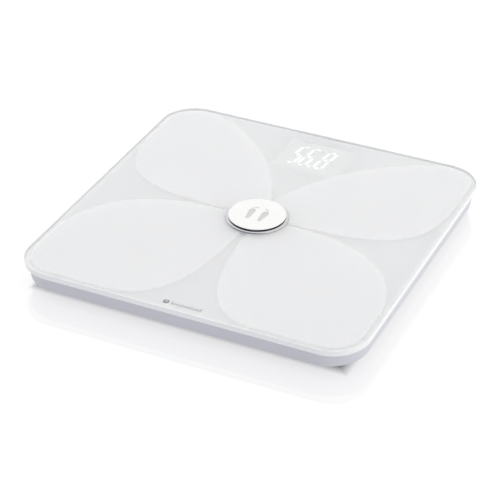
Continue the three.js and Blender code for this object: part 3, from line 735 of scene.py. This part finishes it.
def make_hub_bezel():
    """The polished ring, whose top steps down under the cap's edge to a step painted black as the shadow in the
    gap.
    """
    low, high = node_box("hub_bezel")
    outer, inner = high.x, 22.6
    shoulder = 1.3
    step_edge, step_floor = CAP_HIGH.x - 0.2, high.z - 0.55
    profile = [(inner, low.z), (outer - 0.15, low.z), (outer, low.z + 0.15)]
    profile += [(outer - shoulder * (1 - math.cos(a)), low.z + 0.3 + 1.1 * math.sin(a)) for a in quarter(0, 75)]
    profile += [(outer - shoulder, high.z - 0.35), (step_edge, high.z - 0.3), (step_edge - 0.2, step_floor)]
    painted_from = len(profile) - 2
    profile += [(inner, step_floor)]
    bezel = turned("hub_bezel_ring", profile, steps=HUB_STEPS, ring=True)
    dress(bezel, "chrome", "gap")
    # The step's faces take the black painted shadow.
    for index, face in enumerate(bezel.data.polygons):
        face.material_index = int(index // HUB_STEPS >= painted_from)
    finish_piece(bezel, "chrome", replaces=["hub_bezel"])


# ---- Base shell ----

SHELL_BOTTOM, SHELL_LIP = SHELL_LOW.z, SHELL_HIGH.z
SHELL_FLOOR = SHELL_BOTTOM + 2
SHELL_CORNER = 35.5
WALL_TOP_INSET = 1.2
WALL_BOTTOM_INSET = 3
EDGE_ROUND = 1.2

# The ends of the battery door's plate without its hooks and latch, where the latch starts, and half its width.
DOOR_FRONT, DOOR_REAR = -104.7, DOOR_HIGH.y - 4
LATCH_ROOT = DOOR_REAR - 2
LATCH_SIDE = 6


def shell_outline(inset):
    """The tray's outline drawn in from the platform's side by inset."""
    return square(inset, SHELL_CORNER - (inset - WALL_TOP_INSET))


def shell_form():
    """The tray's outside: a rounded foot and a wall that leans out a little."""
    levels = []
    for angle in quarter(90, 0, 8):
        inset = WALL_BOTTOM_INSET + EDGE_ROUND * (1 - math.cos(angle))
        levels.append((shell_outline(inset), SHELL_BOTTOM + EDGE_ROUND * (1 - math.sin(angle))))
    levels.append((shell_outline(WALL_TOP_INSET + 0.03), SHELL_LIP - 0.25))
    levels.append((shell_outline(WALL_TOP_INSET + 0.25), SHELL_LIP))
    return lofted("moulded_base", levels)


def make_shell():
    """The moulded tray with its real walls, and inside it the ribs and pockets of the CAD shell."""
    hollow_inset, recess_inset, rib_inset = 5.3, 3.3, 5.0
    above = SHELL_LIP + 1
    shell = shell_form()
    hollow = slab("hollow", shell_outline(hollow_inset), SHELL_FLOOR - 0.5, above)
    recess = slab("recess", shell_outline(recess_inset), SHELL_LIP - 0.3, above)
    inside = bpy.data.objects.new("inside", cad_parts["base_shell"].data.copy())
    inside.data.materials.clear()
    bpy.context.scene.collection.objects.link(inside)
    combine(inside, [slab("keep", shell_outline(rib_inset), SHELL_FLOOR - 1, above)], "INTERSECT")
    combine(shell, [hollow, recess], "DIFFERENCE")
    combine(shell, [inside], "UNION")
    combine(shell, underside_openings(), "DIFFERENCE")
    trim_below(shell, SHELL_BOTTOM - 0.001)
    finish_piece(shell, "white_plastic", replaces=["base_shell"])


def flared(name, outline_at, top):
    """A cutter whose mouth opens by a small chamfer at the shell's underside."""
    chamfer = 0.4
    levels = [
        (chamfer, SHELL_BOTTOM - 1),
        (chamfer, SHELL_BOTTOM - 0.02),
        (0.0, SHELL_BOTTOM + 0.38),
        (0.0, top),
    ]
    return lofted(name, [(outline_at(grow), height) for grow, height in levels])


def round_cutter(name, centre, radius):
    """A flared cutter for a round hole through the shell's floor."""
    return flared(name, lambda grow: arc(centre, radius + grow, 0, 360, 64)[:-1], SHELL_FLOOR + 0.1)


def door_cutter():
    """The battery door's opening, its finger latch's, and the bay behind them, as one cutter."""
    gap = 0.32
    ledge = DOOR_LOW.z + 1.43
    side = DOOR_HIGH.x + gap
    front, rear = DOOR_FRONT - gap, DOOR_REAR + gap
    latch_side, latch_rear = LATCH_SIDE + 0.6, DOOR_HIGH.y + gap
    bay_side, bay_front, bay_rear = 17.25, -103.05, -46.95

    def door_at(grow):
        return rounded_rect((-side - grow, side + grow), (front - grow, rear + grow), 1.2 + grow, 6)

    def latch_at(grow):
        x = (-latch_side - grow, latch_side + grow)
        return rounded_rect(x, (LATCH_ROOT, latch_rear + grow), 1.2 + grow, 6)

    door = flared("door_opening", door_at, ledge)
    latch = flared("latch_opening", latch_at, ledge - 0.03)
    bay = box("bay_opening", (-bay_side, bay_side), (bay_front, bay_rear), (ledge - 0.5, SHELL_FLOOR))
    combine(door, [latch, bay], "UNION")
    return door


def underside_openings():
    """Cutters for the battery door, the unit button, the blank label panel and the feet."""
    label = rounded_rect((-45, 45), (18, 58), 2.5, 8)
    cutters = [
        door_cutter(),
        round_cutter("button_hole", middle("unit_button"), 4.4),
        slab("label_panel", label, SHELL_BOTTOM - 1, SHELL_BOTTOM + 0.2),
    ]
    cutters += [round_cutter("foot_hole", middle(f"foot_cup_{corner}"), 6.9) for corner in CORNERS]
    return cutters


# ---- Feet, door and button ----


def make_feet():
    """White cups on stems, with grooved rubber pads under them."""
    for corner in CORNERS:
        body = f"foot_{corner}"
        centre = middle(f"foot_cup_{corner}")
        low, high = node_box(f"foot_cup_{corner}")
        radius = high.x - centre[0]
        rim, fillet = SHELL_BOTTOM - 0.8, 0.7
        stem, flange, collar = 6, 8.1, SHELL_FLOOR + 0.9
        profile = [(radius - 1.6, low.z), (radius - 0.6, low.z + 0.25), (radius, low.z + 1.1)]
        for angle in quarter(0, 90):
            across = radius - fillet + fillet * math.cos(angle)
            profile.append((across, rim - fillet + fillet * math.sin(angle)))
        profile += [(stem + 0.8, rim), (stem, rim + 0.7), (stem, collar), (flange, collar + 0.1)]
        profile += [(flange, collar + 0.3), (stem, collar + 1.1), (4.4, high.z - 0.2), (4, high.z)]
        cup = turned(f"cup_{corner}", profile, centre)
        finish_piece(cup, "white_plastic", body, [f"foot_cup_{corner}"])

        low, high = node_box(f"foot_pad_{corner}")
        radius = high.x - centre[0]
        profile = []
        for groove in (4, 8, 12):
            profile += [(groove - 0.7, 0), (groove - 0.45, 0.5), (groove + 0.45, 0.5), (groove + 0.7, 0)]
        profile += [(radius - 0.9, 0), (radius - 0.25, 0.25), (radius, 0.9), (radius, high.z)]
        pad = turned(f"pad_{corner}", profile, centre)
        finish_piece(pad, "rubber", body, [f"foot_pad_{corner}"])


def make_door():
    """The battery door: a plate with a sprung finger latch, grip grooves and two hook tabs."""
    low, high = DOOR_LOW, DOOR_HIGH
    front, rear = DOOR_FRONT, DOOR_REAR
    plate_top = low.z + 1.2
    plate = slab("door", rounded_rect((low.x, high.x), (front, rear), 1, 6), low.z, plate_top)
    latch_outline = rounded_rect((-LATCH_SIDE, LATCH_SIDE), (LATCH_ROOT, high.y), 1, 6)
    latch = slab("latch", latch_outline, low.z, plate_top)
    tabs = []
    for x in (-10, 10):
        tabs.append(box("post", about(x, 6), (front + 0.05, front + 1.4), (low.z + 0.5, high.z)))
        tabs.append(box("hook", about(x, 6), (front - 2.3, front + 1.4), (high.z - 0.8, high.z - 0.02)))
    combine(plate, [latch, *tabs], "UNION")
    through = (low.z - 1, plate_top + 1)
    slits = [box("slit", about(x, 0.8), (rear - 7, rear + 0.6), through) for x in (-7, 7)]
    scoop_outline = rounded_rect((-4.4, 4.4), (rear - 1.2, high.y - 1), 1.2, 6)
    scoop = slab("scoop", scoop_outline, low.z - 1, low.z + 0.45)
    grooves = []
    for i in range(5):
        groove = rounded_rect((-12, 12), about(front + 14 + 2.2 * i, 1), 0.45, 4)
        grooves.append(slab("groove", groove, low.z - 1, low.z + 0.35))
    combine(plate, [*slits, scoop, *grooves], "DIFFERENCE")
    soften(plate, 0.18)
    plate.name = "door_with_latch"
    finish_piece(plate, "white_plastic", "battery_hatch", ["battery_door"])


def make_button():
    """A soft key with a dished face, held behind the shell by its flange."""
    low, high = node_box("unit_button")
    centre = middle("unit_button")
    radius, flange = 3.9, high.x - centre[0]
    profile = [(0.4, low.z + 0.35), (2.2, low.z + 0.2), (3.1, low.z), (radius - 0.3, low.z + 0.05)]
    profile += [(radius, low.z + 0.45), (radius, high.z - 0.4), (flange, high.z - 0.4), (flange, high.z)]
    key = turned("unit_key_cap", profile, centre, 64)
    finish_piece(key, "rubber", "unit_key", ["unit_button"])


# ---- Batteries ----


def make_battery(node, facing):
    """A sleeved cell lying along Y, its banded positive end towards +Y when facing is 1."""
    low, high = node_box(node)
    centre = (low + high) / 2
    radius = (high.x - low.x) / 2
    half = (high.y - low.y) / 2
    steel, sleeve, band = 0, 1, 2
    profile = [
        (3.6, -half, steel),
        (4.3, 0.25 - half, steel),
        (radius - 0.5, 0.25 - half, sleeve),
        (radius, 0.8 - half, sleeve),
        (radius, half - 13, band),
        (radius, half - 1.7, band),
        (radius - 0.6, half - 1.15, band),
        (4, half - 1.15, steel),
        (3.7, half - 1.0, steel),
        (2.75, half - 1.0, steel),
        (2.7, half - 0.2, steel),
        (2.5, half, steel),
    ]
    steps = 64
    cell = turned(f"{node}_cell", [(r, z) for r, z, _ in profile], steps=steps)
    dress(cell, "steel", "battery", "battery_band")
    for index, face in enumerate(cell.data.polygons):
        ring = min(index // steps, len(profile) - 1)
        face.material_index = profile[ring][2]
    for vertex in cell.data.vertices:
        x, y, z = vertex.co
        vertex.co = (centre.x * MM - facing * x, centre.y * MM + facing * z, centre.z * MM + y)
    finish_piece(cell, "battery", replaces=[node])


def make_batteries():
    """Three cells side by side, the middle one the other way round."""
    for node, facing in (("battery_left", 1), ("battery_middle", -1), ("battery_right", 1)):
        make_battery(node, facing)


# ---- Inner pieces that keep their CAD shape ----

CARRIED_LOOKS = {
    "adhesive_frame": "tape",
    "hub_carrier": "inner_plastic",
    "hub_nut": "inner_plastic",
    "hub_contact": "spring_metal",
    "load_cell": "steel",
    "strain_gauge": "inner_plastic",
    "main_board": "board",
    "weighing_chip": "chip",
    "radio_module": "chip",
    "cell_socket": "inner_plastic",
    "hub_socket": "inner_plastic",
    "board_screw": "steel",
    "display_block": "inner_plastic",
    "display_diffuser": "diffuser",
    "unit_switch": "chip",
    "battery_link": "spring_metal",
    "battery_contact": "spring_metal",
    "cell_lead": "lead",
    "hub_lead": "lead",
    "battery_lead": "lead",
}


def dress_carried_nodes():
    """Gives the CAD nodes that stay in sight their finishes, by the start of their names."""
    for name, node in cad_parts.items():
        for prefix, look in CARRIED_LOOKS.items():
            if name.startswith(prefix):
                for slot in node.material_slots:
                    slot.material = LOOKS[look]


make_camera()
make_world()
make_floor()
LOOKS = make_materials()
make_glass()
make_film()
make_edge_highlight()
make_electrodes()
make_print()
make_gasket()
make_digits()
make_hub_cap()
make_hub_bezel()
make_shell()
make_feet()
make_door()
make_button()
make_batteries()
dress_carried_nodes()
bpy.context.scene.view_settings.view_transform = "Standard"
